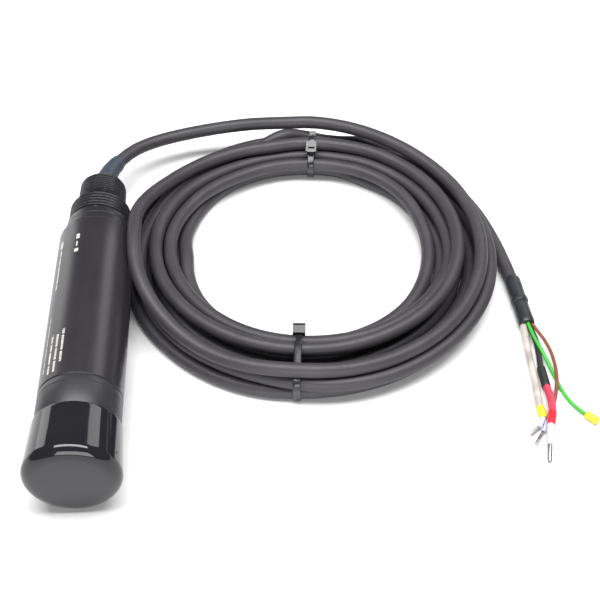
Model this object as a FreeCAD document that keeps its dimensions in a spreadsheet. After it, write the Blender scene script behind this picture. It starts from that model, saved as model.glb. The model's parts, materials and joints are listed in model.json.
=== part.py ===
import FreeCAD, Part
import Sketcher
import math
import os

# Immersion level probe with a screw-in head, a pull-off protective cap and a coiled cable.
# Millimetres. The probe lies on its cap rim and on the rear edge of its tube, cable end to +Y,
# and the coil lies on the same surface beside it. Turned pieces are drawn in a local frame
# whose Z runs from the cap's front face (0) towards the cable.

V = FreeCAD.Vector
DOC = FreeCAD.newDocument("LevelProbe")

# ---------------------------------------------------------------- driving dimensions
SIZES = {
    # outside
    "bodyradius": 20.0,
    "tubebore": 17.5,
    "caprim": 22.4,
    "captop": 20.9,
    "capface": 16.2,
    "capbore": 18.6,
    "capwall": 3.0,
    "capround": 5.0,
    "capend": 30.0,
    "collarstart": 30.3,
    "jointfront": 46.8,
    "tubestart": 47.3,
    "tubeend": 157.2,
    "flangeend": 158.4,
    "collargroove": 164.4,
    "collarend": 169.0,
    "reliefend": 170.6,
    "threadgend": 182.6,
    "length": 204.2,
    "collarradius": 17.6,
    "upperradius": 17.3,
    "reliefradius": 14.9,
    "threadgradius": 16.62,
    "threadgpitch": 2.309,
    "threadgdepth": 1.2,
    "threadnradius": 13.3,
    "threadnpitch": 1.814,
    "threadndepth": 1.0,
    # inside the head
    "noseradius": 18.2,
    "nosestart": 10.0,
    "noseend": 46.0,
    "cupbore": 14.5,
    "layerstart": 10.4,
    "layerend": 13.4,
    "piezoradius": 12.4,
    "piezoend": 18.4,
    "ringend": 20.4,
    "backingradius": 11.0,
    "backingend": 32.0,
    "bulkheadstart": 38.0,
    "bulkheadend": 41.0,
    "spigotradius": 17.4,
    "spigotend": 56.0,
    "ringgroovefloor": 15.9,
    "ringgroovewidth": 1.8,
    "frontgroove": 50.2,
    "reargroove": 151.0,
    "rearspigot": 147.0,
    "oringradius": 0.8,
    # electronics
    "shieldouter": 17.2,
    "shieldinner": 16.9,
    "shieldstart": 58.0,
    "shieldend": 143.0,
    "boardstart": 61.0,
    "boardlength": 78.0,
    "boardhalf": 14.0,
    "boardthick": 1.6,
    "railwidth": 2.7,
    "railheight": 5.0,
    # cable gland in the rear fitting
    "cavityradius": 13.0,
    "cavityend": 178.0,
    "seatradius": 9.0,
    "seatend": 190.0,
    "cableradius": 3.7,
    "cablehole": 4.2,
    "nutstart": 171.6,
    "washerend": 179.5,
    "resinstart": 158.0,
    "coreradius": 0.9,
    # coil of cable: bundle round its centre, and its gap to the probe
    "coilx": 111.0,
    "coily": 62.0,
    "coilinner": 67.5,
    "coilouter": 102.0,
    "coilheight": 20.5,
    "coilcrown": 24.0,
    "coilgap": 3.2,
}

SHEET = DOC.addObject("Spreadsheet::Sheet", "Sizes")
for row, (alias, value) in enumerate(SIZES.items(), start=1):
    SHEET.set("A%d" % row, alias)
    SHEET.set("B%d" % row, str(value))
    SHEET.setAlias("B%d" % row, alias)
DOC.recompute()

S = SIZES
TILT = math.degrees(math.atan((S["caprim"] - S["bodyradius"]) / (S["tubeend"] - S["capround"])))
COS = math.cos(math.radians(TILT))
SIN = math.sin(math.radians(TILT))
AXIS_HEIGHT = S["caprim"] * COS + S["capround"] * SIN
FRONT_Y = -S["length"] / 2
PROBE = FreeCAD.Placement(V(0, FRONT_Y, AXIS_HEIGHT), FreeCAD.Rotation(V(1, 0, 0), -90 - TILT))

CABLE = S["cableradius"]


# ---------------------------------------------------------------- helpers
def add(name, shape):
    """A solid with no parametric feature of its own, such as a cord."""
    item = DOC.addObject("Part::Feature", name)
    item.Shape = shape
    item.Label = name
    return item


def turned(name, outline):
    """Body of revolution about local Z. outline: (radius, height) pairs of sheet expressions."""
    body = DOC.addObject("PartDesign::Body", name)
    body.Label = name
    plane = [f for f in body.Origin.OriginFeatures if f.Role == "XZ_Plane"][0]
    sketch = body.newObject("Sketcher::SketchObject", name + "_profile")
    sketch.AttachmentSupport = [(plane, "")]
    sketch.MapMode = "FlatFace"
    points = [(value(r), value(u)) for r, u in outline]
    count = len(points)
    for i, (r, u) in enumerate(points):
        r_next, u_next = points[(i + 1) % count]
        sketch.addGeometry(Part.LineSegment(V(r, u, 0), V(r_next, u_next, 0)), False)
    for i in range(count):
        sketch.addConstraint(Sketcher.Constraint("Coincident", i, 2, (i + 1) % count, 1))
    for i, (r, u) in enumerate(outline):
        for kind, text in (("DistanceX", r), ("DistanceY", u)):
            number = sketch.addConstraint(Sketcher.Constraint(kind, -1, 1, i, 1, value(text)))
            if value(text) > 0:
                sketch.setExpression("Constraints[%d]" % number, formula(text))
    spin = body.newObject("PartDesign::Revolution", name + "_turned")
    spin.Profile = sketch
    spin.ReferenceAxis = (sketch, ["V_Axis"])
    spin.Angle = 360.0
    body.Placement = PROBE
    return body


def formula(text):
    """Sheet aliases in an expression, written for FreeCAD."""
    out = ""
    word = ""
    for char in text + " ":
        if char.isalpha():
            word += char
            continue
        out += "Sizes." + word if word in SIZES else word
        word = ""
        out += char
    return out.strip()


def value(text):
    """The number that a simple sum or product of aliases stands for."""
    total = 0.0
    for sign, term in terms(text):
        product = 1.0
        for factor in term.split("*"):
            factor = factor.strip()
            product *= SIZES[factor] if factor in SIZES else float(factor)
        total += sign * product
    return total


def terms(text):
    """Split an expression at its plus and minus signs."""
    found = []
    sign = 1
    word = ""
    for char in text.replace(" ", ""):
        if char in "+-" and word:
            found.append((sign, word))
            word = ""
            sign = 1 if char == "+" else -1
        else:
            word += char
    found.append((sign, word))
    return found


def ring(name, inner, outer, start, end):
    """Plain tube or disc between two heights."""
    return turned(name, [(inner, start), (outer, start), (outer, end), (inner, end)])


def block(name, width, depth, height, x, y, u):
    """Box in the probe's frame: width in X, depth in local Y, height along the probe.
    Sizes are expressions; x, y and u place its low corner."""
    box = DOC.addObject("Part::Box", name)
    box.Label = name
    box.setExpression("Length", formula(width))
    box.setExpression("Width", formula(depth))
    box.setExpression("Height", formula(height))
    box.Placement = PROBE.multiply(FreeCAD.Placement(V(x, y, u), FreeCAD.Rotation()))
    return box


def rod(name, radius, height, x, y, u, direction=V(0, 0, 1)):
    """Round rod in the probe's frame, starting at (x, y, u)."""
    item = DOC.addObject("Part::Cylinder", name)
    item.Label = name
    item.setExpression("Radius", formula(radius))
    item.setExpression("Height", formula(height))
    turn = FreeCAD.Rotation(V(0, 0, 1), direction)
    item.Placement = PROBE.multiply(FreeCAD.Placement(V(x, y, u), turn))
    return item


def o_ring(name, start):
    """O-ring in the groove that begins at this height."""
    item = DOC.addObject("Part::Torus", name)
    item.Label = name
    item.setExpression("Radius1", formula("ringgroovefloor+oringradius"))
    item.setExpression("Radius2", formula("oringradius"))
    middle = value(start + "+0.5*ringgroovewidth")
    item.Placement = PROBE.multiply(FreeCAD.Placement(V(0, 0, middle), FreeCAD.Rotation()))
    return item


def grooved_thread(start, radius, pitch, depth, crests, taper):
    """Outline points of a thread drawn as rings: flat crests with V grooves between them."""
    points = []
    for i in range(crests):
        low = "%s+%s*%.2f" % (start, pitch, i + 0.12)
        high = "%s+%s*%.2f" % (start, pitch, i + 0.62)
        root = "%s+%s*%.2f" % (start, pitch, i + 0.87)
        crest = "%s-%.3f" % (radius, taper * i)
        points.append((crest, low))
        points.append((crest, high))
        points.append(("%s-%s" % (crest, depth), root))
    return points


def route_edges(points):
    """Straight runs joined by tangent arcs, each as large as its two runs allow."""
    edges = []
    radii = []
    here = points[0]
    for before, corner, after in zip(points, points[1:], points[2:]):
        into = corner - before
        out = after - corner
        turn = into.getAngle(out)
        cut = 0.45 * min(into.Length, out.Length)
        radii.append(cut / math.tan(turn / 2))
        a = corner - into.normalize() * cut
        b = corner + out.normalize() * cut
        bisector = (a + b) * 0.5 - corner
        half = bisector.Length
        radius = radii[-1]
        middle = corner + bisector.normalize() * (math.hypot(radius, cut) - radius)
        edges.append(Part.LineSegment(here, a).toShape())
        edges.append(Part.Arc(a, middle, b).toShape())
        here = b
    edges.append(Part.LineSegment(here, points[-1]).toShape())
    return edges, radii


def tube(name, points, radius):
    """Round cord along a route; prints its bend radii and compares volume with length."""
    route = [V(*p) for p in points]
    edges, radii = route_edges(route)
    path = Part.Wire(edges)
    start = route[0]
    heading = route[1] - route[0]
    circle = Part.Wire(Part.Circle(start, heading, radius).toShape())
    solid = path.makePipeShell([circle], True, True)
    ratio = solid.Volume / (math.pi * radius ** 2 * path.Length)
    print("%s length %.1f mm, radii %s, volume ratio %.4f"
          % (name, path.Length, ["%.0f" % r for r in radii], ratio))
    return add(name, solid)


def cone_between(p, q, r_p, r_q):
    """Round taper between two points."""
    p = V(*p)
    q = V(*q)
    axis = q - p
    if abs(r_p - r_q) < 1e-6:
        return Part.makeCylinder(r_p, axis.Length, p, axis)
    return Part.makeCone(r_p, r_q, axis.Length, p, axis)


# ---------------------------------------------------------------- protective cap (pulls off)
def make_cap():
    arc_steps = 4
    outline = [("0", "0"), ("capface", "0")]
    for i in range(1, arc_steps):
        angle = math.pi / 2 * i / arc_steps
        out = "capface+caprim*%.4f-capface*%.4f" % (math.sin(angle), math.sin(angle))
        up = "capround*%.4f" % (1 - math.cos(angle))
        outline.append((out, up))
    outline += [
        ("caprim", "capround"),
        ("captop", "capend-0.6"),
        ("captop-0.6", "capend"),
        ("capbore+0.3", "capend"),
        ("capbore", "capend-0.6"),
        ("capbore", "capwall"),
        ("0", "capwall"),
    ]
    turned("protective_cap", outline)


# ---------------------------------------------------------------- sensing head
def make_head():
    turned("head_collar", [
        ("noseradius", "collarstart"),
        ("bodyradius-0.3", "collarstart"),
        ("bodyradius", "collarstart+0.3"),
        ("bodyradius", "jointfront-3.7"),
        ("bodyradius-0.3", "jointfront-3.4"),
        ("bodyradius", "jointfront-3.1"),
        ("bodyradius", "jointfront-0.3"),
        ("bodyradius-0.3", "jointfront"),
        ("spigotradius", "jointfront"),
        ("spigotradius", "frontgroove"),
        ("ringgroovefloor", "frontgroove"),
        ("ringgroovefloor", "frontgroove+ringgroovewidth"),
        ("spigotradius", "frontgroove+ringgroovewidth"),
        ("spigotradius", "spigotend"),
        ("cupbore", "spigotend"),
        ("cupbore", "noseend"),
        ("noseradius", "noseend"),
    ])
    turned("transducer_housing", [
        ("cupbore", "nosestart"),
        ("noseradius-0.8", "nosestart"),
        ("noseradius", "nosestart+0.8"),
        ("noseradius", "noseend"),
        ("cupbore", "noseend"),
    ])
    ring("matching_layer", "0", "cupbore", "layerstart", "layerend")
    ring("piezo_disc", "0", "piezoradius", "layerend", "piezoend")
    ring("decoupling_ring", "piezoradius", "cupbore", "layerend", "ringend")
    ring("backing_block", "0", "backingradius", "piezoend", "backingend")
    rod("temperature_sensor", "1.2", "11", 12.8, 0, S["ringend"] + 0.6)
    ring("head_bulkhead", "4.2", "cupbore", "bulkheadstart", "bulkheadend")
    o_ring("front_o_ring", "frontgroove")
    ring("joint_gasket", "tubebore", "bodyradius-0.35", "jointfront", "tubestart")
    for name, side in (("sensor_lead_signal", -1), ("sensor_lead_return", 1)):
        rod(name, "0.6", "boardstart-backingend+2", side * 1.8, 2.4, S["backingend"])


# ---------------------------------------------------------------- tube and electronics
def make_tube():
    turned("body_tube", [
        ("tubebore", "tubestart"),
        ("bodyradius-0.4", "tubestart"),
        ("bodyradius", "tubestart+0.4"),
        ("bodyradius", "tubeend-0.5"),
        ("bodyradius-0.5", "tubeend"),
        ("tubebore", "tubeend"),
    ])
    ring("shield_tube", "shieldinner", "shieldouter", "shieldstart", "shieldend")
    ring("spacer_ring", "14", "shieldouter", "shieldend", "rearspigot")


def make_board():
    half = S["boardhalf"]
    thick = S["boardthick"]
    face = thick / 2
    block("circuit_board", "2*boardhalf", "boardthick", "boardlength",
          -half, -thick / 2, S["boardstart"])
    for name, x in (("board_rail_left", -half - S["railwidth"]), ("board_rail_right", half)):
        block(name, "railwidth", "railheight", "boardlength",
              x, -S["railheight"] / 2, S["boardstart"])
    block("processor_chip", "10", "1.4", "10", -5, -face - 1.4, 88)
    block("analog_chip", "6", "1.6", "5", 4, -face - 1.6, 74)
    block("pulse_transformer", "9", "7", "9", -9, -face - 7, 68)
    block("sensor_connector", "8", "4", "5", -4, face, S["boardstart"] + 2)
    block("terminal_block", "16", "7", "8", -8, -face - 7, S["boardstart"] + S["boardlength"] - 9)
    block("crystal", "4.6", "1.2", "3.2", 7, -face - 1.2, 92)
    for name, x in (("capacitor_left", -7), ("capacitor_right", 7)):
        rod(name, "3.1", "8", x, -face, 112, V(0, -1, 0))


# ---------------------------------------------------------------- rear fitting and gland
def make_fitting():
    outline = [
        ("cavityradius", "rearspigot"),
        ("spigotradius", "rearspigot"),
        ("spigotradius", "reargroove"),
        ("ringgroovefloor", "reargroove"),
        ("ringgroovefloor", "reargroove+ringgroovewidth"),
        ("spigotradius", "reargroove+ringgroovewidth"),
        ("spigotradius", "tubeend"),
        ("bodyradius-0.6", "tubeend+0.2"),
        ("bodyradius-0.6", "flangeend-0.5"),
        ("collarradius+0.6", "flangeend"),
        ("collarradius", "flangeend+0.6"),
        ("collarradius", "collargroove-0.4"),
        ("upperradius-0.4", "collargroove"),
        ("upperradius", "collargroove+0.4"),
        ("upperradius", "collarend-0.4"),
        ("upperradius-0.4", "collarend"),
        ("reliefradius", "collarend"),
        ("reliefradius", "reliefend"),
    ]
    outline += grooved_thread("reliefend", "threadgradius", "threadgpitch", "threadgdepth", 5, 0.0)
    outline += [("threadnradius-0.9", "threadgend"), ("threadnradius-0.9", "threadgend+0.3")]
    outline += grooved_thread("threadgend+0.4", "threadnradius", "threadnpitch",
                              "threadndepth", 11, 0.035)
    outline += [
        ("threadnradius-1.3", "length"),
        ("cablehole", "length"),
        ("cablehole", "seatend"),
        ("seatradius", "seatend"),
        ("seatradius", "cavityend"),
        ("cavityradius", "cavityend"),
    ]
    turned("rear_fitting", outline)
    o_ring("rear_o_ring", "reargroove")
    ring("gland_grommet", "cableradius", "seatradius", "washerend", "seatend")
    ring("gland_washer", "cableradius+0.3", "seatradius", "cavityend", "washerend")
    ring("gland_nut", "cableradius+0.3", "cavityradius", "nutstart", "cavityend")
    ring("resin_plug", "cableradius", "cavityradius", "resinstart", "nutstart")
    rod("cable_inner", "cableradius", "length-rearspigot-2", 0, 0, S["rearspigot"] + 2)
    core_start = S["boardstart"] + S["boardlength"] - 1
    for name, x in (("inner_core_left", -2.0), ("inner_core_right", 2.0)):
        rod(name, "coreradius", "rearspigot+2-boardstart-boardlength+1", x, -2.6, core_start)


# ---------------------------------------------------------------- cable outside the probe
REAR = PROBE.multVec(V(0, 0, S["length"]))
BOOT_ROUTE = [(0.0, REAR.y, REAR.z), (0.3, 106.5, 19.2), (1.2, 112.0, 19.2), (2.7, 117.2, 19.2),
              (4.6, 121.4, 19.2), (6.6, 125.0, 19.3)]
BOOT_RADII = [6.2, 5.9, 5.5, 5.1, 4.8, 4.5]

# The cable from the boot to the coil, the tail after it and the cores after the end sleeve.
LEAD_ROUTE = [(6.6, 125.0, 19.3), (12.4, 134.2, 19.0), (20.5, 141.8, 18.3), (30.6, 148.0, 17.6),
              (42.2, 152.6, 17.2), (55.4, 155.7, 17.6), (70.2, 157.1, 18.9), (86.2, 156.7, 20.8),
              (102.2, 154.4, 22.4)]
TAIL_ROUTE = [(203.5, 106.0, 4.2), (209.8, 93.0, 3.9), (214.4, 78.5, 3.75), (217.8, 62.5, 3.75),
              (220.3, 45.5, 3.75), (222.1, 27.5, 3.8)]
SLEEVE_ENDS = [(222.1, 27.5, 4.35), (223.6, -1.0, 3.9)]
SLEEVE_RADIUS = 4.3
CORE_RADIUS = S["coreradius"]
BRAID_RADIUS = 1.75
BLACK_RADIUS = 1.5
RED_RADIUS = 1.9
WHITE_ROUTE = [(221.9, -1.2, 3.6), (221.3, -13.5, 2.5), (221.2, -27.5, 1.85), (220.6, -42.0, 1.85),
               (219.9, -54.8, 1.9)]
GREEN_ROUTE = [(223.9, -1.2, 5.6), (224.7, -8.5, 5.0), (227.1, -17.5, 4.1), (229.7, -26.5, 2.4),
               (231.7, -36.5, 1.2), (234.0, -47.5, 1.0), (237.6, -55.3, 1.1), (241.6, -60.3, 1.7)]
BLACK_ROUTE = [(225.5, -1.2, 2.2), (226.9, -9.5, 1.8), (226.5, -19.5, 1.6), (225.4, -30.0, 1.6)]
RED_ROUTE = [(225.6, -42.5, 2.5), (226.0, -48.5, 3.4), (225.6, -54.5, 4.05), (224.5, -60.0, 4.4)]
BROWN_ROUTE = [(226.3, -1.2, 4.4), (228.5, -7.0, 4.3), (230.9, -13.5, 4.0), (232.4, -21.0, 3.8),
               (232.6, -29.0, 3.6), (231.9, -37.5, 3.2), (229.8, -45.5, 2.0), (226.6, -54.5, 1.0),
               (222.2, -63.2, 1.1)]


def make_boot():
    rings = []
    for i, (p, radius) in enumerate(zip(BOOT_ROUTE, BOOT_RADII)):
        before = V(*BOOT_ROUTE[max(i - 1, 0)])
        after = V(*BOOT_ROUTE[min(i + 1, len(BOOT_ROUTE) - 1)])
        heading = PROBE.Rotation.multVec(V(0, 0, 1)) if i == 0 else after - before
        rings.append(Part.Wire(Part.Circle(V(*p), heading, radius).toShape()))
    add("cable_boot", Part.makeLoft(rings, True, True, False))


COIL_CENTRE = V(value("coilx"), value("coily"), 0)
COIL_SHIFT_RIGHT = 5.0
COIL_SHIFT_FRONT = 8.0
COIL_OVAL = 4.0
CROWN_SLOPE = 3.2
LEAN_DIRECTION = 190.0
LEAN_HALF_ANGLE = 45.0
LEAN_HEIGHT = 16.0
LEAN_REACH = 7.5


def coil_sizes(angle):
    """Inner and outer radius, height, crown and overhang of the bundle in one direction.

    The outer turns lie off the coil's centre, are slightly oval and stop beside the probe. The
    crown is the top turn, which is highest at the back and leans on the probe at the left."""
    way = math.radians(angle)
    outer = (value("coilouter") + COIL_SHIFT_RIGHT * math.cos(way)
             - COIL_SHIFT_FRONT * math.sin(way) - COIL_OVAL * math.sin(2 * way))
    if math.cos(way) < 0:
        flank = value("coilx - bodyradius - coilgap")
        outer = min(outer, -flank / math.cos(way))
    off = abs(angle - LEAN_DIRECTION) / LEAN_HALF_ANGLE
    leaning = math.cos(math.pi / 2 * off) ** 2 if off < 1 else 0.0
    crown = value("coilcrown") + CROWN_SLOPE * math.sin(way) + LEAN_HEIGHT * leaning
    return value("coilinner"), outer, value("coilheight"), crown, LEAN_REACH * leaning


def coil_section(angle):
    """Closed outline of the bundle in the vertical plane through the coil's centre."""
    inner, outer, height, crown, lean = coil_sizes(angle)
    bevel = 1.5
    crest = 8.0
    shoulder = 12.0
    reach = outer + lean
    outline = [
        (inner + bevel, 0.0), (outer - bevel, 0.0), (outer, bevel), (outer, height - 2 * bevel),
        (reach, crown - bevel), (reach - bevel, crown), (reach - crest, crown),
        (outer - shoulder, height), (inner + bevel, height), (inner, height - bevel),
        (inner, bevel),
    ]
    ray = V(math.cos(math.radians(angle)), math.sin(math.radians(angle)), 0)
    corners = [COIL_CENTRE + ray * rho + V(0, 0, z) for rho, z in outline]
    return Part.makePolygon(corners + corners[:1])


def make_coil():
    count = 40
    wires = [coil_section(360.0 * i / count) for i in range(count)]
    add("cable_coil", Part.makeLoft(wires, True, True, True))


TIE_HEAD = (4.8, 5.4, 4.2)


def make_tie(name, angle, inner, outer, height, head_rho, head_z, head_tilt):
    """Cable tie: a flat band round the bundle and a square head on it."""
    width = 3.8
    thick = 1.1
    ray = V(math.cos(math.radians(angle)), math.sin(math.radians(angle)), 0)
    across = V(-ray.y, ray.x, 0)
    low = 0.05

    def loop(grow):
        spots = [(inner - grow, low + thick - grow), (outer + grow, low + thick - grow),
                 (outer + grow, height + grow), (inner - grow, height + grow)]
        corners = [COIL_CENTRE + ray * rho + V(0, 0, z) - across * (width / 2)
                   for rho, z in spots]
        return Part.Face(Part.makePolygon(corners + corners[:1])).extrude(across * width)

    band = loop(thick).cut(loop(0.0))
    add(name + "_band", band)
    head = Part.makeBox(*TIE_HEAD, V(*TIE_HEAD) * -0.5)
    head.Placement = FreeCAD.Placement(
        COIL_CENTRE + ray * head_rho + V(0, 0, head_z),
        FreeCAD.Rotation(V(0, 0, 1), angle - 90) * FreeCAD.Rotation(V(1, 0, 0), head_tilt))
    add(name + "_head", head.cut(band))


def make_cores():
    start, end = SLEEVE_ENDS
    add("end_sleeve", cone_between(start, end, SLEEVE_RADIUS, SLEEVE_RADIUS - 0.6))
    tube("core_white", WHITE_ROUTE, BRAID_RADIUS)
    tube("core_green", GREEN_ROUTE, CORE_RADIUS)
    tube("core_black", BLACK_ROUTE, BLACK_RADIUS)
    tube("core_red", RED_ROUTE, RED_RADIUS)
    tube("core_brown", BROWN_ROUTE, CORE_RADIUS)
    sleeves = {
        "black_shrink": [(225.4, -30.0, 2.25), (225.6, -42.5, 2.25), 2.2, 2.2],
        "red_shrink": [(224.5, -60.0, 4.4), (222.0, -67.8, 4.7), 2.05, 2.05],
        "marker_white": [(219.9, -54.8, 2.0), (220.3, -61.5, 2.0), 1.95, 1.95],
        "marker_green": [(241.6, -60.3, 2.0), (246.0, -65.0, 2.0), 1.95, 1.95],
    }
    for name, (p, q, r_p, r_q) in sleeves.items():
        add(name, cone_between(p, q, r_p, r_q))
    ferrules = {
        "ferrule_white": [(220.1, -61.5, 2.0), (217.0, -66.8, 2.0), (212.3, -70.4, 1.6), 1.45, 0.75],
        "ferrule_brown": [(222.2, -63.2, 1.3), (218.6, -69.0, 1.3), (213.6, -76.0, 1.2), 1.25, 0.75],
        "ferrule_red": [(222.0, -67.8, 4.7), (219.6, -78.0, 2.9), (218.0, -86.5, 1.4), 1.9, 1.15],
    }
    for name, (p, q, tip, r_collar, r_pin) in ferrules.items():
        collar = cone_between(p, q, r_collar, r_pin + 0.3)
        add(name, collar.fuse(cone_between(q, tip, r_pin, r_pin)))


make_cap()
make_head()
make_tube()
make_board()
make_fitting()
make_boot()
tube("cable_lead", LEAD_ROUTE, CABLE)
make_coil()
tube("cable_tail", TAIL_ROUTE, CABLE)
make_tie("tie_front", 266.0, 68.5, 103.0, 19.6, 70.0, 17.5, 20.0)
make_tie("tie_rear", 83.0, 66.5, 91.5, 20.6, 81.0, 23.0, 0.0)
make_cores()
DOC.recompute()

# ---------------------------------------------------------------- checks and output
os.makedirs("parts", exist_ok=True)
HELPERS = ("Sketcher::SketchObject", "PartDesign::Revolution", "App::Origin", "App::Line",
           "App::Plane", "App::Point", "Spreadsheet::Sheet")
written = 0
for item in DOC.Objects:
    if "Invalid" in item.State or "Error" in item.State:
        raise RuntimeError("%s: %s" % (item.Label, item.State))
    if item.TypeId in HELPERS or not hasattr(item, "Shape"):
        continue
    shape = item.Shape
    if shape.isNull() or not shape.isValid() or shape.Volume <= 0:
        raise RuntimeError("%s has no sound shape" % item.Label)
    if len(shape.Solids) != 1:
        raise RuntimeError("%s has %d solids" % (item.Label, len(shape.Solids)))
    shape.exportStep("parts/%s.step" % item.Label)
    written += 1
    box = shape.BoundBox
    print("%-20s vol %10.1f  x %7.2f %7.2f  y %7.2f %7.2f  z %7.2f %7.2f"
          % (item.Label, shape.Volume, box.XMin, box.XMax, box.YMin, box.YMax, box.ZMin, box.ZMax))
print("parts written:", written, "tilt %.3f deg" % TILT)
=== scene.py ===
import json
import math
import random

import bmesh
import bpy
import numpy as np
from mathutils import Matrix, Vector


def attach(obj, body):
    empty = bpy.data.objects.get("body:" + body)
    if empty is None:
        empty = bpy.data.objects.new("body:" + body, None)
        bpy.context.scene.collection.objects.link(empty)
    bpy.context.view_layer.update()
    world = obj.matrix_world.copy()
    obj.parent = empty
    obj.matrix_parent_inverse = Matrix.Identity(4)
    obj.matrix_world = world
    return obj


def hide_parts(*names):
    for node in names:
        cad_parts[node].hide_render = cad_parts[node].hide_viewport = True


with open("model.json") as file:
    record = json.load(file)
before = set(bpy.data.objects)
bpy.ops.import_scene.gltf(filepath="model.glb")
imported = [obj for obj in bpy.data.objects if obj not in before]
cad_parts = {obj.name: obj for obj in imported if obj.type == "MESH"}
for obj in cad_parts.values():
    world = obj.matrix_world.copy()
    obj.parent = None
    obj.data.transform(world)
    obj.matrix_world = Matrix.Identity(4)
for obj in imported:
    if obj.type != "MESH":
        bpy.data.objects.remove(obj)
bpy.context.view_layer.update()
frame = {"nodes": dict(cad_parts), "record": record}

MM = 0.001
PROBE_BODY = "probe"
CAP_BODY = "cap"

# ---------------------------------------------------------------- the probe's own frame
BODY_R = 20.0
CAP_RIM_R = 22.4
CAP_ROUND = 5.0
LENGTH = 204.2
TUBE_END = 157.2
TILT = math.atan((CAP_RIM_R - BODY_R) / (TUBE_END - CAP_ROUND))
AXIS_HEIGHT = CAP_RIM_R * math.cos(TILT) + CAP_ROUND * math.sin(TILT)
PROBE = (Matrix.Translation(Vector((0, -LENGTH / 2, AXIS_HEIGHT)) * MM)
         @ Matrix.Rotation(-math.pi / 2 - TILT, 4, "X"))


def probe_point(radius, height, angle=math.pi / 2):
    """Row-frame point in metres. Angle 90 degrees is the top of the lying probe, 0 its +X side."""
    return PROBE @ (Vector((radius * math.cos(angle), -radius * math.sin(angle), height)) * MM)


# ---------------------------------------------------------------- materials
def node(tree, kind, **values):
    item = tree.nodes.new(kind)
    for name, value in values.items():
        if hasattr(item, name):
            setattr(item, name, value)
        else:
            item.inputs[name.replace("_", " ")].default_value = value
    return item


def new_material(name, color, roughness, bump=0.1, grain=900.0, mottle=0.12, metallic=0.0,
                 coat=0.0, specular=0.5, streaks=None, rough_spread=0.08, transmission=0.0):
    """Moulded or drawn surface: colour mottle, uneven gloss and a fine grain in the relief."""
    mat = bpy.data.materials.new(name)
    mat.use_nodes = True
    tree = mat.node_tree
    tree.nodes.clear()
    out = node(tree, "ShaderNodeOutputMaterial")
    shader = node(tree, "ShaderNodeBsdfPrincipled")
    shader.inputs["Metallic"].default_value = metallic
    shader.inputs["Coat Weight"].default_value = coat
    shader.inputs["Coat Roughness"].default_value = 0.08
    shader.inputs["Specular IOR Level"].default_value = specular
    shader.inputs["Transmission Weight"].default_value = transmission
    place = node(tree, "ShaderNodeTexCoord")
    scale = node(tree, "ShaderNodeMapping")
    scale.inputs["Scale"].default_value = streaks or (1.0, 1.0, 1.0)
    tree.links.new(place.outputs["Object"], scale.inputs["Vector"])
    broad = node(tree, "ShaderNodeTexNoise")
    broad.inputs["Scale"].default_value = grain * 0.08
    broad.inputs["Detail"].default_value = 4.0
    fine = node(tree, "ShaderNodeTexNoise")
    fine.inputs["Scale"].default_value = grain
    fine.inputs["Detail"].default_value = 3.0
    for noise in (broad, fine):
        tree.links.new(scale.outputs["Vector"], noise.inputs["Vector"])
    tint = node(tree, "ShaderNodeMapRange")
    tint.inputs["From Min"].default_value = 0.3
    tint.inputs["From Max"].default_value = 0.7
    tree.links.new(broad.outputs["Fac"], tint.inputs["Value"])
    mix = node(tree, "ShaderNodeMix")
    mix.data_type = "RGBA"
    dark = [c * (1 - mottle) for c in color]
    light = [min(1.0, c * (1 + mottle)) for c in color]
    mix.inputs["A"].default_value = (*dark, 1.0)
    mix.inputs["B"].default_value = (*light, 1.0)
    tree.links.new(tint.outputs["Result"], mix.inputs["Factor"])
    tree.links.new(mix.outputs["Result"], shader.inputs["Base Color"])
    gloss = node(tree, "ShaderNodeMapRange")
    gloss.inputs["From Min"].default_value = 0.3
    gloss.inputs["From Max"].default_value = 0.7
    gloss.inputs["To Min"].default_value = max(0.02, roughness - rough_spread)
    gloss.inputs["To Max"].default_value = roughness + rough_spread
    tree.links.new(fine.outputs["Fac"], gloss.inputs["Value"])
    tree.links.new(gloss.outputs["Result"], shader.inputs["Roughness"])
    relief = node(tree, "ShaderNodeBump")
    relief.inputs["Strength"].default_value = bump
    relief.inputs["Distance"].default_value = 0.0004
    tree.links.new(fine.outputs["Fac"], relief.inputs["Height"])
    tree.links.new(relief.outputs["Normal"], shader.inputs["Normal"])
    tree.links.new(shader.outputs["BSDF"], out.inputs["Surface"])
    return mat


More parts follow.
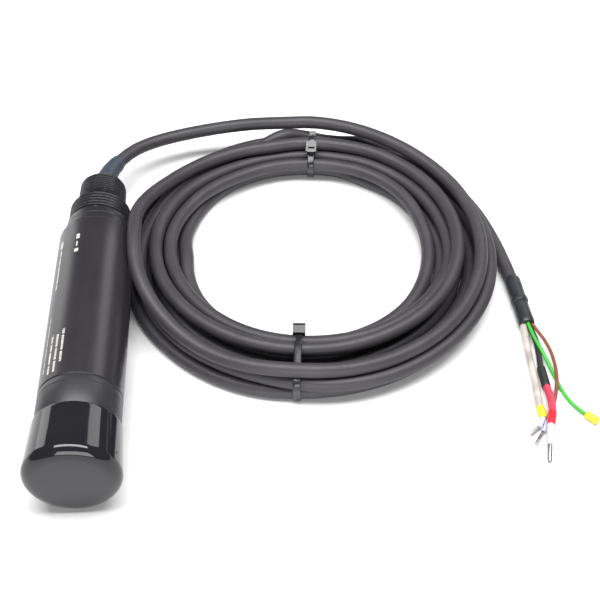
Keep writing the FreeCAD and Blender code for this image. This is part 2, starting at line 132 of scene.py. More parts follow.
M = {
    "shell": new_material("probe_shell", (0.022, 0.020, 0.024), 0.33, bump=0.03, grain=1500,
                          streaks=(1.0, 0.3, 1.0), rough_spread=0.03),
    "head": new_material("head_ring", (0.028, 0.027, 0.031), 0.40, bump=0.08, grain=1500),
    "cap": new_material("cap_gloss", (0.012, 0.012, 0.015), 0.075, bump=0.01, grain=500,
                        rough_spread=0.02),
    "fitting": new_material("fitting_plastic", (0.020, 0.019, 0.023), 0.34, bump=0.08, grain=1400),
    # flat near-black colour of the cap's vent dimple: painted shade in the dimple, not a seam
    "vent_shade": new_material("painted_vent_shade", (0.006, 0.006, 0.007), 0.6, bump=0.1),
    "cable": new_material("cable_jacket", (0.038, 0.035, 0.040), 0.52, bump=0.16, grain=900,
                          rough_spread=0.06, mottle=0.16),
    "boot": new_material("boot_rubber", (0.040, 0.052, 0.072), 0.5, bump=0.12, grain=1200),
    "tie": new_material("tie_nylon", (0.022, 0.022, 0.025), 0.22, bump=0.06, grain=900),
    "sleeve": new_material("shrink_black", (0.020, 0.021, 0.024), 0.42, bump=0.25, grain=600),
    "red_sleeve": new_material("shrink_red", (0.72, 0.020, 0.045), 0.36, bump=0.2, grain=700),
    "red": new_material("core_red", (0.62, 0.05, 0.10), 0.38, bump=0.1),
    "green": new_material("core_green", (0.04, 0.42, 0.035), 0.4, bump=0.1),
    "brown": new_material("core_brown", (0.22, 0.07, 0.035), 0.4, bump=0.1),
    "black": new_material("core_black", (0.025, 0.025, 0.028), 0.4, bump=0.1),
    "white": new_material("core_white", (0.50, 0.45, 0.41), 0.35, bump=0.5, grain=1800,
                          mottle=0.3),
    "yellow": new_material("marker_yellow", (0.80, 0.62, 0.03), 0.4, bump=0.1),
    "tin": new_material("tinned_metal", (0.42, 0.40, 0.38), 0.30, bump=0.15, metallic=1.0),
    "lilac": new_material("ferrule_collar", (0.55, 0.57, 0.72), 0.3, bump=0.1),
    "paint": new_material("mark_paint", (0.62, 0.60, 0.56), 0.5, bump=0.2, grain=2500),
    "epoxy": new_material("acoustic_epoxy", (0.66, 0.64, 0.54), 0.55, bump=0.2),
    "ceramic": new_material("piezo_ceramic", (0.60, 0.55, 0.45), 0.5, bump=0.3),
    "rubber": new_material("soft_rubber", (0.02, 0.02, 0.022), 0.7, bump=0.3),
    "backing": new_material("backing_resin", (0.09, 0.08, 0.075), 0.5, bump=0.4),
    "board_plastic": new_material("board_plastic", (0.11, 0.11, 0.12), 0.5),
    "laminate": new_material("board_laminate", (0.02, 0.20, 0.08), 0.35, bump=0.2, grain=2500),
    "chip": new_material("chip_black", (0.03, 0.03, 0.032), 0.55, bump=0.3),
    "terminal": new_material("terminal_green", (0.04, 0.36, 0.14), 0.4),
    "capacitor": new_material("capacitor_sleeve", (0.05, 0.08, 0.24), 0.3),
}

# record slot -> material
SLOT_LOOK = {
    "cap_plastic": "cap", "shell_plastic": "shell", "fitting_plastic": "fitting",
    "acoustic_epoxy": "epoxy", "piezo_ceramic": "ceramic", "soft_rubber": "rubber",
    "backing_epoxy": "backing", "tinned_metal": "tin", "board_plastic": "board_plastic",
    "board_laminate": "laminate", "chip_black": "chip", "ferrite": "chip",
    "terminal_green": "terminal", "capacitor_sleeve": "capacitor", "cable_jacket": "cable",
    "boot_rubber": "boot", "tie_nylon": "tie", "shrink_black": "sleeve",
    "shrink_red": "red_sleeve", "core_white_plastic": "white", "core_green_plastic": "green",
    "core_black_plastic": "black", "core_red_plastic": "red", "core_brown_plastic": "brown",
    "marker_yellow": "yellow",
}
for sub in frame["record"]["subparts"]:
    part = frame["nodes"][sub["node"]]
    part.data.materials.clear()
    part.data.materials.append(M[SLOT_LOOK[sub["material_slot"]]])


# ---------------------------------------------------------------- mesh helpers
def finish_piece(obj, material, body=PROBE_BODY, replaces=()):
    obj.data.materials.append(M[material])
    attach(obj, body)
    if replaces:
        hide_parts(*replaces)
    return obj


def mesh_object(name, bm, smooth=True, angle=None):
    mesh = bpy.data.meshes.new(name)
    bmesh.ops.recalc_face_normals(bm, faces=bm.faces)
    bm.to_mesh(mesh)
    bm.free()
    for face in mesh.polygons:
        face.use_smooth = smooth
    obj = bpy.data.objects.new(name, mesh)
    bpy.context.scene.collection.objects.link(obj)
    if angle is not None:
        obj.data.set_sharp_from_angle(angle=math.radians(angle))
    return obj


def lathe(name, outline, segments=160, angle=28):
    """Closed outline of (radius, height) in mm turned about the probe's axis."""
    bm = bmesh.new()
    rings = []
    for radius, height in outline:
        if radius < 1e-6:
            rings.append([bm.verts.new(probe_point(0, height))] * segments)
        else:
            rings.append([bm.verts.new(probe_point(radius, height, 2 * math.pi * i / segments))
                          for i in range(segments)])
    for a, b in zip(rings, rings[1:] + rings[:1]):
        if a[0] is a[1] and b[0] is b[1]:
            continue
        for i in range(segments):
            j = (i + 1) % segments
            corners = [a[i], a[j], b[j], b[i]]
            unique = [v for k, v in enumerate(corners) if v not in corners[:k]]
            bm.faces.new(unique)
    return mesh_object(name, bm, angle=angle)


def rounded(corner_r, corner_u, radius, start, end, steps=8):
    """Quarter-round points about a centre, from one angle to another in degrees."""
    return [(corner_r + radius * math.cos(math.radians(start + (end - start) * i / steps)),
             corner_u + radius * math.sin(math.radians(start + (end - start) * i / steps)))
            for i in range(steps + 1)]


# ---------------------------------------------------------------- protective cap
def cap_outline():
    face_r = 16.2
    points = [(0.0, 0.0), (4.0, 0.0), (10.0, 0.0), (face_r - 2.5, 0.02)]
    steps = 14
    for i in range(steps + 1):
        a = math.pi / 2 * i / steps
        points.append((face_r + (CAP_RIM_R - face_r) * math.sin(a),
                       CAP_ROUND * (1 - math.cos(a)) + 0.02))
    points += [(22.36, 5.6), (22.3, 6.5), (21.6, 18.0), (20.95, 28.6)]
    points += [(20.93, 29.3), (20.78, 29.72), (20.5, 29.92), (20.2, 30.0)]
    points += [(19.1, 30.0), (18.75, 29.85), (18.6, 29.4), (18.6, 4.0), (17.6, 3.0), (0.0, 3.0)]
    return points


finish_piece(lathe("cap_shell", cap_outline(), 192, angle=35), "cap",
             CAP_BODY, ["protective_cap"])

# vent dimple on the cap's flank: a flat dark disc, painted shade in the dimple
def disc_on_cap(name, angle, height, size):
    bm = bmesh.new()
    radius = CAP_RIM_R - (height - CAP_ROUND) * 0.058 + 0.02
    centre = probe_point(radius, height, angle)
    normal = (centre - probe_point(0, height, angle)).normalized()
    side = normal.cross(PROBE.to_3x3() @ Vector((0, 0, 1))).normalized()
    up = side.cross(normal)
    ring = [bm.verts.new(centre + (side * math.cos(2 * math.pi * i / 20)
                                   + up * math.sin(2 * math.pi * i / 20)) * size * MM)
            for i in range(20)]
    bm.faces.new(ring)
    return mesh_object(name, bm, smooth=False)


# the vent dimple drawn as a flat disc in painted shade
finish_piece(disc_on_cap("cap_vent_painted_shade", math.radians(24), 9.0, 0.6), "vent_shade", CAP_BODY)


# ---------------------------------------------------------------- head ring and tube
def head_outline():
    return [(18.2, 30.35), (19.6, 30.35), (19.85, 30.5), (20.0, 30.8), (20.0, 43.15),
            (19.86, 43.3), (19.78, 43.42), (19.86, 43.54), (20.0, 43.7), (20.0, 46.4),
            (19.88, 46.68), (19.62, 46.8), (17.4, 46.8), (17.4, 56.0), (14.5, 56.0),
            (14.5, 46.0), (18.2, 46.0)]


def tube_outline():
    return [(17.5, 47.3), (19.5, 47.3), (19.82, 47.42), (20.0, 47.75), (20.0, 60.0),
            (20.0, 100.0), (20.0, 140.0), (20.0, 156.2), (19.9, 156.7), (19.6, 157.05),
            (19.2, 157.2), (17.5, 157.2)]


finish_piece(lathe("head_ring", head_outline(), 192), "head",
             replaces=["head_collar"])
finish_piece(lathe("tube_shell", tube_outline(), 192), "shell",
             replaces=["body_tube"])


# ---------------------------------------------------------------- printed marks: plain bars only
# Each row of bars: first and last height along the probe, direction in degrees, bar depth and
# the range of bar lengths, in mm.
MARK_ROWS = [
    (131.0, 133.4, 109.5, 2.2, (2.3, 2.4)), (135.2, 139.0, 109.5, 0.7, (3.6, 3.8)),
    (141.0, 144.6, 109.5, 2.2, (1.4, 1.6)),
    (140.2, 145.6, 142.0, 2.4, (5.3, 5.4)), (109.5, 138.3, 141.0, 1.5, (0.9, 1.7)),
    (56.0, 77.0, 112.5, 1.3, (0.7, 1.3)), (51.0, 74.5, 121.5, 1.3, (0.7, 1.3)),
    (51.0, 76.0, 131.5, 1.4, (0.8, 1.4)), (54.0, 90.0, 143.5, 0.9, (0.6, 1.1)),
]
MARK_LIFT = 0.03


def printed_marks():
    rng = random.Random(7)
    bm = bmesh.new()
    for first, last, direction, depth, lengths in MARK_ROWS:
        half = math.degrees(depth / 2 / BODY_R)
        u = first
        word = rng.randint(3, 7)
        while u < last:
            span = min(rng.uniform(*lengths), last - u)
            rise = rng.choice((0.75, 1.0, 1.0)) * half
            low = direction - half
            rows = []
            for k in range(4):
                angle = math.radians(low + (rise + half) * k / 3)
                rows.append([bm.verts.new(probe_point(BODY_R + MARK_LIFT, u, angle)),
                             bm.verts.new(probe_point(BODY_R + MARK_LIFT, u + span, angle))])
            for a, b in zip(rows, rows[1:]):
                bm.faces.new([a[0], a[1], b[1], b[0]])
            word -= 1
            u += span + (0.35 if word else 1.1)
            word = word or rng.randint(3, 7)
    return mesh_object("printed_bars", bm, smooth=False)


finish_piece(printed_marks(), "paint")

# ---------------------------------------------------------------- rear fitting with helical threads
def fitting_shoulder():
    return [(13.0, 147.0), (17.4, 147.0), (17.4, 157.2), (19.2, 157.35), (19.4, 157.6),
            (19.4, 158.0), (19.15, 158.3), (18.2, 158.45), (17.75, 158.7), (17.6, 159.1),
            (17.6, 163.9), (17.45, 164.25), (17.15, 164.4), (17.05, 164.5), (17.12, 164.62),
            (17.3, 164.85), (17.3, 168.5), (17.15, 168.85), (16.8, 169.0), (15.2, 169.0),
            (14.9, 169.25), (14.9, 170.7), (13.0, 170.7)]


def threaded(name, start, end, crest, root, pitch, taper, bore, lead_in, runout):
    """Right-handed thread: rings of a height field that climbs one pitch per turn."""
    segments = 128
    per_pitch = 14
    rows = int((end - start) / pitch * per_pitch) + 1
    bm = bmesh.new()
    grid = []
    for k in range(rows + 1):
        u = start + (end - start) * k / rows
        ring = []
        for i in range(segments):
            angle = 2 * math.pi * i / segments
            phase = ((u - start) / pitch - i / segments) % 1.0
            ridge = 1 - abs(2 * phase - 1)
            profile = min(1.0, max(0.0, (ridge - 0.14) / 0.62))
            profile = profile * profile * (3 - 2 * profile) * 0.35 + profile * 0.65
            fade = min(1.0, max(0.0, (u - start) / runout), max(0.0, (end - u) / lead_in))
            full = crest - taper * (u - start)
            deep = root - taper * (u - start)
            chamfer = max(0.0, 1.0 - (end - u) / lead_in)
            radius = deep + (full - deep) * profile * fade - chamfer * 0.35
            ring.append(bm.verts.new(probe_point(radius, u, angle)))
        grid.append(ring)
    for u in (end, start):
        ring = [bm.verts.new(probe_point(bore, u, 2 * math.pi * i / segments))
                for i in range(segments)]
        grid.append(ring)
    for a, b in zip(grid, grid[1:] + grid[:1]):
        for i in range(segments):
            j = (i + 1) % segments
            bm.faces.new([a[i], a[j], b[j], b[i]])
    return mesh_object(name, bm, angle=40)


finish_piece(lathe("fitting_shoulder", fitting_shoulder(), 160), "fitting",
             replaces=["rear_fitting"])
finish_piece(threaded("process_thread", 170.5, 182.6, 16.6, 15.25, 2.309, 0.0, 12.5, 1.0, 0.8),
             "fitting")
finish_piece(threaded("conduit_thread", 182.6, 204.2, 13.3, 12.15, 1.814, 0.03, 4.2, 1.1, 0.5),
             "fitting")

# ---------------------------------------------------------------- the cable's route
CABLE_R = 3.7
CABLE_D = 2 * CABLE_R
CENTRE = np.array([111.0, 62.0])
REAR = PROBE @ (Vector((0, 0, LENGTH)) * MM) / MM

# from the boot to the coil, and from the coil to the end sleeve: the same points as part.py's
LEAD_ROUTE = [(6.6, 125.0, 19.3), (12.4, 134.2, 19.0), (20.5, 141.8, 18.3), (30.6, 148.0, 17.6),
              (42.2, 152.6, 17.2), (55.4, 155.7, 17.6), (70.2, 157.1, 18.9), (86.2, 156.7, 20.8),
              (102.2, 154.4, 22.4)]
TAIL_ROUTE = [(203.5, 106.0, 4.2), (209.8, 93.0, 3.9), (214.4, 78.5, 3.75), (217.8, 62.5, 3.75),
              (220.3, 45.5, 3.75), (222.1, 27.5, 3.8)]

# The turns in the order that the cable runs, clockwise seen from above: radius, how far the
# turn's centre lies to the right and to the back of the coil's centre, and the layer that it
# lies in at the back and at the front. The middle ones lie side by side on the floor.
FLOOR_TURNS = 4
FIRST_LANE = 75.5
PITCH = CABLE_D + 0.1
LAYER_STEP = CABLE_D * math.sin(math.radians(60))
TURNS = ([(94.0, 1.0, -8.0, 3, 2), (82.0, 1.0, -3.0, 2, 2), (77.0, 4.0, 0.0, 1, 1),
          (71.0, 0.0, 0.0, 1, 0)]
         + [(FIRST_LANE + lane * PITCH, 1.0, -4.0, 0, 0) for lane in range(FLOOR_TURNS)]
         + [(94.0, 6.0, -9.0, 1, 1)])
CROSSING = 0.30           # share of each turn in which it moves over to the next one's place
LEAN_DIRECTION = 190.0    # the top turn leans on the probe round this direction
LEAN_HALF_ANGLE = 45.0
LEAN_HEIGHT = 16.0
END_BLEND = 60.0          # degrees in which the coil's ends come in from the straight runs
END_GAP = 7.5             # degrees between the coil's last point and the run that follows
SETTLE_STEPS = 1200
FREE_STEPS = 300          # the last steps, in which the turns only clear each other
SQUEEZE_ROOM = 0.25       # how far apart the turns are kept beyond a diameter, in mm
PROBE_ROOM = 0.35         # and how far from the probe
FINE = 96                 # samples in a turn
LEAD_STEPS = 7            # samples of the lead and tail that the turns have to clear
TAIL_STEPS = 14
POINTS_PER_TURN = 96     # as fine as the samples, so that the spline cuts no corner


def ease(share):
    """Smooth step from 0 to 1."""
    share = np.clip(share, 0.0, 1.0)
    return share * share * (3 - 2 * share)


def polar(point):
    """Distance and direction in degrees from the coil's centre."""
    x, y = point[0] - CENTRE[0], point[1] - CENTRE[1]
    return math.hypot(x, y), math.degrees(math.atan2(y, x))


def run_beside(travel, route, turns_before):
    """Radius and height of a straight run's points at degrees of travel."""
    spots = [polar(p) for p in route]
    degrees = [360.0 * turns_before + 90.0 - direction for _, direction in spots]
    return (np.interp(travel, degrees, [distance for distance, _ in spots]),
            np.interp(travel, degrees, [p[2] for p in route]))


def wound(travel, last):
    """Radius and height of the wound cable before it settles, at degrees of travel."""
    theta = np.radians(90.0 - travel)
    number = np.clip((travel // 360).astype(int), 0, len(TURNS) - 1)
    after = np.minimum(number + 1, len(TURNS) - 1)
    share = ease((travel / 360 - number - 1 + CROSSING) / CROSSING)
    rows = np.array(TURNS)
    row = rows[number] * (1 - share)[:, None] + rows[after] * share[:, None]
    rho = row[:, 0] + row[:, 1] * np.cos(theta) + row[:, 2] * np.sin(theta)
    layer = (row[:, 3] + row[:, 4]) / 2 + (row[:, 3] - row[:, 4]) / 2 * np.sin(theta)
    z = CABLE_R + LAYER_STEP * layer
    off = np.abs((450.0 - travel) - LEAN_DIRECTION) / LEAN_HALF_ANGLE
    z = z + LEAN_HEIGHT * np.where(off < 1, np.cos(np.pi / 2 * off) ** 2, 0.0)
    lead_rho = polar(LEAD_ROUTE[-1])[0]
    tail_rho = polar(TAIL_ROUTE[0])[0]
    start = 1 - ease(travel / END_BLEND)
    end = ease((travel - last + END_BLEND) / END_BLEND)
    rho = rho + (lead_rho - rho) * start
    z = z + (LEAD_ROUTE[-1][2] - z) * start
    rho = rho + (tail_rho - rho) * end
    z = z + (TAIL_ROUTE[0][2] - z) * end ** 3
    return theta, rho, z, np.maximum(start, end)


def probe_radius(y):
    """Outer radius of the lying probe at a place along it, in mm."""
    u = y + LENGTH / 2
    return np.select([u < 158.5, u < 169.2, u < 182.6], [BODY_R, 17.7, 16.7], 13.4)


def coil_turns():
    """Centre line of the coil: travel angle, radius and height, settled so that turns touch."""
    last = 360.0 * len(TURNS) + 90.0 - polar(TAIL_ROUTE[0])[1] - END_GAP
    step_size = 360.0 / FINE
    s = np.arange(-LEAD_STEPS, int(last / step_size) + TAIL_STEPS) * step_size
    theta, rho, z, pinned = wound(s, last)
    lead_rho, lead_z = run_beside(s, LEAD_ROUTE[-4:], 0)
    tail_rho, tail_z = run_beside(s, TAIL_ROUTE[:-1], len(TURNS))
    rho = np.where(s < 0, lead_rho, np.where(s > last, tail_rho, rho))
    z = np.where(s < 0, lead_z, np.where(s > last, tail_z, z))
    fixed = (s < 0) | (s > last)
    count = len(s)
    aim_rho = rho.copy()
    aim_z = z.copy()
    turn = (s // 360).astype(int)
    # the turns that lie on top keep their place, the ones below them give way
    top = (turn <= 1) | (turn >= len(TURNS) - 1)
    hold = np.convolve(np.where(top, 0.05, 0.01), np.ones(FINE) / FINE, "same")
    clear = CABLE_D + SQUEEZE_ROOM
    beside = [(gap * FINE + skew, skew) for gap in range(1, len(TURNS) + 1)
              for skew in (-1, 0, 1) if gap * FINE + skew < count]
    steps = SETTLE_STEPS
    settle = FREE_STEPS
    for step in range(steps):
        if step == steps - settle:
            hold = 0.10 * pinned
        move_r = hold * (aim_rho - rho)
        move_z = hold * (aim_z - z)
        along = np.maximum(rho, 1.0) * np.radians(step_size)
        push_r = np.zeros(count)
        push_z = np.zeros(count)
        for offset, skew in beside:
            # two turns beside each other, also a sample ahead or behind where they cross
            dr = rho[offset:] - rho[:-offset]
            dz = z[offset:] - z[:-offset]
            side = np.maximum(np.hypot(dr, dz), 1e-3)
            far = np.hypot(side, skew * along[:-offset])
            lack = np.maximum(clear - far, 0.0) * 0.4
            push_r[:-offset] -= dr / side * lack
            push_z[:-offset] -= dz / side * lack
            push_r[offset:] += dr / side * lack
            push_z[offset:] += dz / side * lack
        rho = rho + move_r + push_r
        z = z + move_z + push_z - 0.004
        if step < steps - settle or step % 6 == 0:
            smooth = 0.22
            rho[1:-1] += smooth * (0.5 * (rho[2:] + rho[:-2]) - rho[1:-1])
            z[1:-1] += smooth * (0.5 * (z[2:] + z[:-2]) - z[1:-1])
        x = CENTRE[0] + rho * np.cos(theta)
        y = CENTRE[1] + rho * np.sin(theta)
        axis_z = AXIS_HEIGHT - (y + LENGTH / 2) * math.tan(TILT)
        need = probe_radius(y) + CABLE_R + PROBE_ROOM
        off = np.hypot(x, z - axis_z)
        hit = (off < need) & (y < LENGTH / 2)
        scale = np.where(hit, need / np.maximum(off, 1e-3), 1.0)
        rho = rho - np.where(hit, (scale - 1) * x / np.maximum(np.abs(np.cos(theta)), 0.3), 0.0)
        z = np.where(hit, axis_z + (z - axis_z) * scale, z)
        z = np.maximum(z, CABLE_R)
        rho = np.where(fixed, aim_rho, rho)
        z = np.where(fixed, aim_z, z)
    coil = ~fixed
    return rho[coil], z[coil], theta[coil]


RHO, HEIGHT, THETA = coil_turns()


def coil_gap():
    """Smallest distance in space between two turns' centre lines, for the log."""
    line = np.stack([CENTRE[0] + RHO * np.cos(THETA), CENTRE[1] + RHO * np.sin(THETA), HEIGHT], 1)
    apart = FINE // 4
    return min(np.linalg.norm(line[i + apart:] - line[i], axis=1).min()
               for i in range(len(line) - apart))


print("closest turns %.2f mm" % coil_gap())


def coil_points():
    """Control points of the coil's spline, a little outside the line that it draws."""
    step = FINE // POINTS_PER_TURN
    outward = 1.0 + (1 - math.cos(2 * math.pi / POINTS_PER_TURN)) / 4
    points = []
    for i in range(step, len(RHO), step):
        rho = RHO[i] * outward
        points.append((CENTRE[0] + rho * math.cos(THETA[i]), CENTRE[1] + rho * math.sin(THETA[i]),
                       HEIGHT[i]))
    return points


def nurbs(name, points, radius, resolution=6):
    """One smooth open spline through the route's points, with a round section."""
    data = bpy.data.curves.new(name, "CURVE")
    data.dimensions = "3D"
    spline = data.splines.new("NURBS")
    spline.points.add(len(points) - 1)
    for item, p in zip(spline.points, points):
        item.co = (p[0] * MM, p[1] * MM, p[2] * MM, 1.0)
    spline.order_u = 3
    spline.use_endpoint_u = True
    spline.resolution_u = resolution
    data.bevel_depth = radius * MM
    data.bevel_resolution = 8
    data.use_fill_caps = True
    obj = bpy.data.objects.new(name, data)
    bpy.context.scene.collection.objects.link(obj)
    return obj


def route_of(points, resolution=16):
    """Points of the smooth line that a spline with these control points draws, in metres."""
    probe = nurbs("route_probe", points, 0.0, resolution)
    probe.data.bevel_depth = 0.0
    mesh = bpy.data.meshes.new_from_object(probe)
    line = [v.co.copy() for v in mesh.vertices]
    bpy.data.objects.remove(probe)
    bpy.data.meshes.remove(mesh)
    return line


CABLE_POINTS = LEAD_ROUTE + coil_points() + TAIL_ROUTE
cable = nurbs("cable_jacket", CABLE_POINTS, CABLE_R, 2)
finish_piece(cable, "cable", replaces=["cable_lead", "cable_coil", "cable_tail"])
cable_line = route_of(CABLE_POINTS, 8)


# ---------------------------------------------------------------- tubes, boots and sleeves
def frames_along(line):
    """Directions and two normals at each point of a line, turning as little as possible."""
    out = []
    up = Vector((0, 0, 1))
    for i, p in enumerate(line):
        a = line[max(0, i - 1)]
        b = line[min(len(line) - 1, i + 1)]
        along = (b - a).normalized()
        side = along.cross(up)
        if side.length < 0.05:
            side = along.cross(Vector((0, 1, 0)))
        side.normalize()
        up = side.cross(along).normalized()
        out.append((p, along, side, up))
    return out


def swept(name, line, radii, segments=28, angle=35):
    """Round body along a line, in metres, with a radius in mm at each point and closed ends."""
    bm = bmesh.new()
    rings = []
    for (p, along, side, up), radius in zip(frames_along(line), radii):
        rings.append([bm.verts.new(p + (side * math.cos(2 * math.pi * i / segments)
                                        + up * math.sin(2 * math.pi * i / segments)) * radius * MM)
                      for i in range(segments)])
    for a, b in zip(rings, rings[1:]):
        for i in range(segments):
            j = (i + 1) % segments
            bm.faces.new([a[i], a[j], b[j], b[i]])
    bm.faces.new(rings[0])
    bm.faces.new(rings[-1])
    return mesh_object(name, bm, angle=angle)


BOOT_POINTS = [(0.0, REAR.y - 0.3, REAR.z), (0.3, 106.5, 19.25), (1.2, 112.0, 19.2),
               (2.7, 117.2, 19.2), (4.6, 121.4, 19.2), (7.3, 126.2, 19.3)]


def boot_piece():
    line = route_of(BOOT_POINTS, 8)
    radii = []
    for i in range(len(line)):
        share = i / (len(line) - 1)
        radius = 6.1 - 1.5 * share
        if share < 0.12:
            radius = 6.4
        if share > 0.96:
            radius -= 0.35
        radii.append(radius)
    return swept("boot", line, radii, 40)


boot = finish_piece(boot_piece(), "boot", replaces=["cable_boot"])


def sleeve_piece():
    """Shrunk sleeve over the end of the jacket: a fold where the jacket ends under it."""
    start = Vector((222.0, 31.0, 3.95)) * MM
    end = Vector((223.6, -1.4, 4.2)) * MM
    stations = [(0.0, 3.78), (0.015, 4.2), (0.05, 4.35), (0.20, 4.3), (0.38, 4.25), (0.45, 4.35),
                (0.475, 4.6), (0.50, 4.7), (0.525, 4.6), (0.55, 4.2), (0.62, 4.15), (0.80, 4.2),
                (0.93, 4.3), (0.985, 4.25), (1.0, 4.0)]
    line = [start.lerp(end, share) for share, _ in stations]
    radii = [radius for _, radius in stations]
    for i, radius in enumerate(radii):
        line[i].z = max(line[i].z, (radius + 0.02) * MM)
    return swept("end_sleeve_shrunk", line, radii, 40)


sleeve = finish_piece(sleeve_piece(), "sleeve", replaces=["end_sleeve"])


# ---------------------------------------------------------------- cable ties
def hull(points):
    """Convex outline of (rho, z) points, counter-clockwise."""
    points = sorted(points)
    sides = []
    for sweep in (points, points[::-1]):
        chain = []
        for p in sweep:
            while len(chain) > 1 and ((chain[-1][0] - chain[-2][0]) * (p[1] - chain[-2][1])
                                      - (chain[-1][1] - chain[-2][1]) * (p[0] - chain[-2][0])) <= 0:
                chain.pop()
            chain.append(p)
        sides += chain[:-1]
    return sides


def tie_piece(name, angle, outside, low_rho, high_rho, head_at, head_turn, tail):
    """Band pulled tight round the turns at one direction, head on top, cut tail.
    outside lists the passes that run over the band; head_at is the (radius, height) point, in mm,
    that the head sits nearest to on the band."""
    theta = math.radians(angle)
    ray = Vector((math.cos(theta), math.sin(theta), 0))
    across = Vector((-ray.y, ray.x, 0))
    thick = 1.0
    width = 3.7
    spots = []
    travel = (90.0 - angle) % 360.0
    for number in range(len(TURNS) + 1):
        index = int(round((travel + 360.0 * number) / 360.0 * FINE))
        if number in outside or index >= len(RHO):
            continue
        if not low_rho <= RHO[index] <= high_rho:
            continue
        for k in range(24):
            a = 2 * math.pi * k / 24
            spots.append((RHO[index] + CABLE_R * math.cos(a), HEIGHT[index] + CABLE_R * math.sin(a)))
    ring = hull(spots)
    centre = Vector((sum(p[0] for p in ring) / len(ring), sum(p[1] for p in ring) / len(ring)))
    outline = []
    for k, p in enumerate(ring):
        q = ring[(k + 1) % len(ring)]
        span = math.hypot(q[0] - p[0], q[1] - p[1])
        for j in range(max(1, int(span / 2.5))):
            share = j / max(1, int(span / 2.5))
            outline.append(Vector((p[0] + (q[0] - p[0]) * share, p[1] + (q[1] - p[1]) * share)))
    count = len(outline)
    normals = []
    for k in range(count):
        edge = outline[(k + 1) % count] - outline[k - 1]
        normals.append(Vector((edge.y, -edge.x)).normalized())

    def place(p, off):
        spot = Vector((CENTRE[0], CENTRE[1], 0)) + ray * p.x + across * off
        spot.z = max(p.y, 0.02)
        return spot * MM

    bm = bmesh.new()
    loops = []
    for grow, off in ((0.02, -width / 2), (thick * 0.8, -width / 2), (thick, -width / 2 + 0.3),
                      (thick, width / 2 - 0.3), (thick * 0.8, width / 2), (0.02, width / 2)):
        loops.append([bm.verts.new(place(outline[k] + normals[k] * grow, off))
                      for k in range(count)])
    for a, b in zip(loops, loops[1:] + loops[:1]):
        for k in range(count):
            j = (k + 1) % count
            bm.faces.new([a[k], a[j], b[j], b[k]])
    band = mesh_object(name + "_strap", bm, angle=40)

    # head: a rounded block, turned to stand off the bundle
    pick = min(range(count), key=lambda k: (outline[k] - Vector(head_at)).length)
    base = outline[pick]
    out = normals[pick]
    along = Vector((-out.y, out.x))
    turned = math.radians(head_turn)
    out = Vector((out.x * math.cos(turned) - out.y * math.sin(turned),
                  out.x * math.sin(turned) + out.y * math.cos(turned)))
    along = Vector((-out.y, out.x))
    bm = bmesh.new()
    bmesh.ops.create_cube(bm, size=1.0)
    for v in bm.verts:
        local = v.co.copy()
        p = base + out * (thick * 0.4 + (local.z + 0.5) * 4.4) + along * (local.x * 5.4)
        v.co = place(p, local.y * 5.0)
    bmesh.ops.bevel(bm, geom=list(bm.edges), offset=0.7 * MM, segments=3, affect="EDGES")
    head = mesh_object(name + "_block", bm, angle=35)
    strap_end = bmesh.new()
    bmesh.ops.create_cube(strap_end, size=1.0)
    for v in strap_end.verts:
        local = v.co.copy()
        p = base + out * (thick * 0.4 + 4.2 + (local.z + 0.5) * tail) + along * (local.x * 1.1)
        v.co = place(p, local.y * 3.2)
    bmesh.ops.bevel(strap_end, geom=list(strap_end.edges), offset=0.25 * MM, segments=2,
                    affect="EDGES")
    stub = mesh_object(name + "_stub", strap_end, angle=35)
    finish_piece(band, "tie", replaces=[name + "_band"])
    finish_piece(head, "tie", replaces=[name + "_head"])
    finish_piece(stub, "tie")
    return [band, head, stub]


ties = tie_piece("tie_front", -95.0, (0,), 60, 110, (73.0, 14.0), 30.0, 1.6)
ties += tie_piece("tie_rear", 83.0, (0,), 60, 94, (73.0, 19.0), 0.0, 1.6)

# ---------------------------------------------------------------- cores
WHITE_ROUTE = [(221.9, -1.2, 3.6), (221.3, -13.5, 2.5), (221.2, -27.5, 1.85), (220.6, -42.0, 1.85),
               (219.9, -54.8, 1.9)]
GREEN_ROUTE = [(223.9, -1.2, 5.6), (224.7, -8.5, 5.0), (227.1, -17.5, 4.1), (229.7, -26.5, 2.4),
               (231.7, -36.5, 1.2), (234.0, -47.5, 1.0), (237.6, -55.3, 1.1), (241.6, -60.3, 1.7)]
BLACK_ROUTE = [(225.5, -1.2, 2.2), (226.9, -9.5, 1.8), (226.5, -19.5, 1.6), (225.4, -30.0, 1.6)]
RED_ROUTE = [(225.6, -42.5, 2.5), (226.0, -48.5, 3.4), (225.6, -54.5, 4.05), (224.5, -60.0, 4.4)]
BROWN_ROUTE = [(226.3, -1.2, 4.4), (228.5, -7.0, 4.3), (230.9, -13.5, 4.0), (232.4, -21.0, 3.8),
               (232.6, -29.0, 3.6), (231.9, -37.5, 3.2), (229.8, -45.5, 2.0), (226.6, -54.5, 1.0),
               (222.2, -63.2, 1.1)]
BLACK_INSIDE = [(225.5, -36.0, 2.25)]     # the wire runs on inside its shrunk tube


def round_piece(name, p, q, r_p, r_q, material, replaces=(), lip=0.25):
    """Short sleeve, marker or ferrule collar with rounded rims, between two points in mm."""
    a = Vector(p) * MM
    b = Vector(q) * MM
    stations = [(0.0, r_p - lip), (0.03, r_p - lip * 0.3), (0.08, r_p), (0.5, (r_p + r_q) / 2),
                (0.92, r_q), (0.97, r_q - lip * 0.3), (1.0, r_q - lip)]
    line = [a.lerp(b, share) for share, _ in stations]
    obj = swept(name, line, [max(0.1, r) for _, r in stations], 24)
    return finish_piece(obj, material, replaces=replaces)


def core(name, points, radius, material, node_name):
    obj = finish_piece(nurbs(name, points, radius, 10), material, replaces=[node_name])
    line = route_of(points, 12)


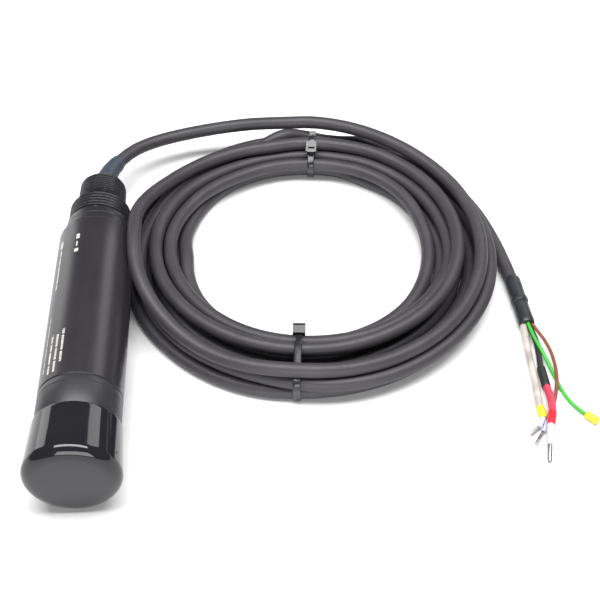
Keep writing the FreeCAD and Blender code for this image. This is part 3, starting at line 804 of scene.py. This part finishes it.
white_mark = round_piece("marker_white_tube", (219.9, -54.5, 2.0), (220.3, -61.5, 2.0), 1.95, 1.95,
                         "yellow", ["marker_white"])
white_tip = round_piece("ferrule_white_collar", (220.1, -61.3, 2.0), (217.0, -66.8, 2.0), 1.5, 1.15,
                        "lilac", ["ferrule_white"])
white_pin = round_piece("ferrule_white_pin", (217.3, -66.4, 2.0), (212.3, -70.4, 1.6), 0.78, 0.78,
                        "tin", lip=0.1)
brown_tip = round_piece("ferrule_brown_collar", (222.2, -63.0, 1.35), (218.6, -69.0, 1.35), 1.28,
                        1.05, "lilac", ["ferrule_brown"])
brown_pin = round_piece("ferrule_brown_pin", (218.8, -68.6, 1.3), (213.6, -76.0, 1.2), 0.78, 0.78,
                        "tin", lip=0.1)
red_tube = round_piece("red_shrink_tube", (224.6, -59.6, 4.4), (222.0, -67.8, 4.7), 2.1, 2.05,
                       "red_sleeve", ["red_shrink"])
red_tip = round_piece("ferrule_red_collar", (222.1, -67.5, 4.7), (219.6, -78.0, 2.9), 1.95, 1.45,
                      "lilac", ["ferrule_red"])
red_pin = round_piece("ferrule_red_pin", (219.8, -77.4, 3.0), (218.0, -86.5, 1.35), 1.15, 1.1,
                      "tin", lip=0.15)
green_mark = round_piece("marker_green_tube", (241.3, -60.0, 2.0), (246.0, -65.0, 2.0), 1.95, 1.95,
                         "yellow", ["marker_green"])
black_tube = round_piece("black_shrink_tube", (225.4, -29.6, 2.25), (225.6, -42.8, 2.25), 2.2, 2.2,
                         "sleeve", ["black_shrink"])

red_wire = finish_piece(nurbs("core_red_wire", RED_ROUTE, 1.9, 10), "red",
                        replaces=["core_red"])

# the cores that come out of the jacketed cable's end sleeve
core("core_white_braid", WHITE_ROUTE, 1.75, "white", "core_white")
core("core_green_wire", GREEN_ROUTE, 0.9, "green", "core_green")
core("core_black_wire", BLACK_ROUTE + BLACK_INSIDE, 1.5, "black", "core_black")
core("core_brown_wire", BROWN_ROUTE, 0.9, "brown", "core_brown")

# ---------------------------------------------------------------- floor, lights, camera
def studio():
    bm = bmesh.new()
    bmesh.ops.create_grid(bm, x_segments=2, y_segments=2, size=3.0)
    floor = mesh_object("floor", bm, smooth=False)
    mat = new_material("floor_white", (0.86, 0.86, 0.86), 0.7, bump=0.0, grain=20, mottle=0.004)
    floor.data.materials.append(mat)
    world = bpy.data.worlds.new("studio")
    world.use_nodes = True
    bpy.context.scene.world = world
    world.node_tree.nodes["Background"].inputs["Color"].default_value = (1.0, 1.0, 1.0, 1.0)
    world.node_tree.nodes["Background"].inputs["Strength"].default_value = 0.10


def soft_light(name, place, aim, size, power):
    data = bpy.data.lights.new(name, "AREA")
    data.shape = "RECTANGLE"
    data.size, data.size_y = size
    data.energy = power
    lamp = bpy.data.objects.new(name, data)
    bpy.context.scene.collection.objects.link(lamp)
    lamp.location = place
    lamp.rotation_euler = (Vector(aim) - Vector(place)).to_track_quat("-Z", "Y").to_euler()


def set_camera():
    data = bpy.data.cameras.new("camera")
    data.lens = 67.14
    data.sensor_width = 36.0
    camera = bpy.data.objects.new("camera", data)
    bpy.context.scene.collection.objects.link(camera)
    camera.location = (0.084176, -0.392523, 0.427436)
    camera.rotation_euler = (math.pi / 2 - 0.7942, 0.0, -0.0549)
    data.clip_start = 0.01
    bpy.context.scene.camera = camera


studio()
LOOK_AT = (0.08, 0.03, 0.0)
soft_light("overhead_box", (0.08, 0.02, 1.15), LOOK_AT, (1.5, 0.5), 27.0)
soft_light("right_panel", (0.55, 0.70, 0.45), (0.0, -0.02, 0.02), (0.34, 0.34), 1.1)
soft_light("left_panel", (-0.58, 0.62, 0.13), (0.0, -0.02, 0.02), (0.34, 0.36), 1.0)
soft_light("front_fill", (0.10, -1.25, 0.42), LOOK_AT, (1.2, 0.6), 12.0)
set_camera()
bpy.context.scene.view_settings.view_transform = "Standard"
